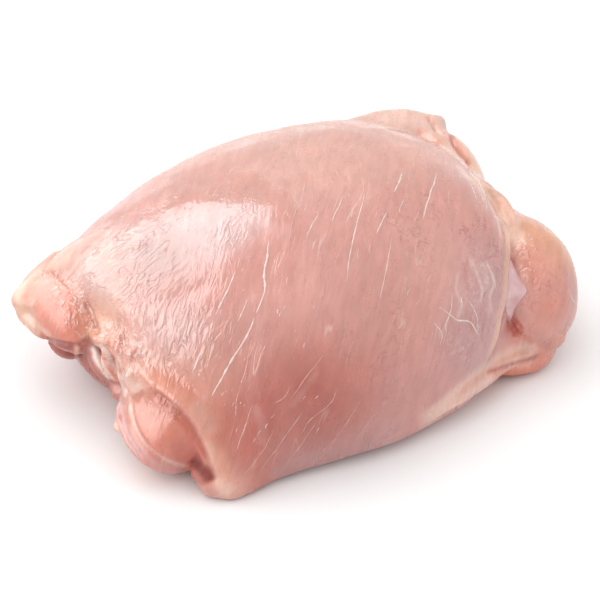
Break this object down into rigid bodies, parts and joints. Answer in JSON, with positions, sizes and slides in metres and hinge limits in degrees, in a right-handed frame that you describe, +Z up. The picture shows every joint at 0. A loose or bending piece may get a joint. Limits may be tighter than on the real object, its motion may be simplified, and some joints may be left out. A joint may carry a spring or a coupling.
{
  "type": "raw chicken thigh",
  "caption": "Raw skinless chicken thigh lying smooth side up, its broad top muscle folded over knuckle muscles at one end and a tucked flank at the other.",
  "frame": {"origin": "on the surface that the thigh lies on, under the middle of its bounding box", "axes": "+X along the thigh, from the open end with the knuckle muscles to the tucked flank; +Z up, out of the smooth side"},
  "size_m": [0.102, 0.0788, 0.0387],
  "materials": {
    "raw_meat": "wet raw meat with a thin clear membrane, pale pink with fat and fascia"
  },
  "bodies": {
    "root": {"chicken_thigh": "raw_meat"}
  },
  "joints": []
}
